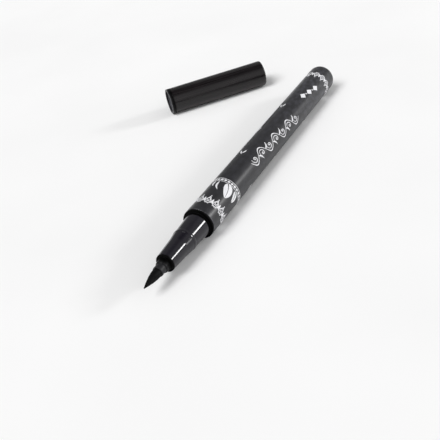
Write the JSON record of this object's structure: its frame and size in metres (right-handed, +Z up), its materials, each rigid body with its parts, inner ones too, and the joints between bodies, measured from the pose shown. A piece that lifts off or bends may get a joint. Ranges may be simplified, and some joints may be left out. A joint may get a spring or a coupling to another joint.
{
  "type": "liquid eyeliner pen",
  "caption": "Slim round eyeliner pen with a tapered fibre tip, a stepped grip, lace bands on the barrel, and its cap lying beside it with the mouth open.",
  "frame": {"origin": "on the pen's axis, halfway along the barrel tube; the pen and the cap lie on a level surface one barrel radius (5 mm) below it", "axes": "+X along the pen from the nib to the tail, +Y sideways to where the cap lies, +Z up"},
  "size_m": [0.1357, 0.0634, 0.01],
  "materials": {
    "charcoal_lacquer": "satin",
    "charcoal_plastic": "satin",
    "white_print": "satin",
    "black_gloss": "gloss",
    "black_satin": "satin",
    "black_plastic": "satin",
    "smoke_plastic": "satin",
    "black_fibre": "matte",
    "core_fibre": "matte",
    "clear_plastic": "gloss",
    "seal_rubber": "matte",
    "ball_steel": "polished",
    "spring_steel": "satin"
  },
  "bodies": {
    "pen": {"barrel_tube": "charcoal_lacquer", "tail_plug": "charcoal_plastic", "tail_seal": "seal_rubber", "front_section": "black_gloss", "section_seal": "seal_rubber", "nib_holder": "smoke_plastic", "nib": "black_fibre", "relay_core": "core_fibre", "collector": "clear_plastic", "collector_seal": "seal_rubber"},
    "ball": {"mixing_ball": "ball_steel"},
    "cap": {"cap_shell": "black_satin", "cap_liner": "black_gloss", "cap_spring": "spring_steel"},
    "cap_insert": {"inner_cap": "black_plastic"}
  },
  "joints": [
    {"name": "cap_swing", "type": "hinge", "parent": "pen", "child": "cap", "pos_m": [-0.03974, 0.04845, 0], "axis": [0, 0, 1], "range_deg": [0, 223.6]},
    {"name": "inner_cap_slide", "type": "slide", "parent": "cap", "child": "cap_insert", "axis": [0.7242, -0.6896, 0], "range_m": [0, 0.002], "stiffness_N_per_m": 150, "deforming": ["cap_spring"]},
    {"name": "ball_slide", "type": "slide", "parent": "pen", "child": "ball", "axis": [1, 0, 0], "range_m": [-0.0236, 0.0302]}
  ]
}
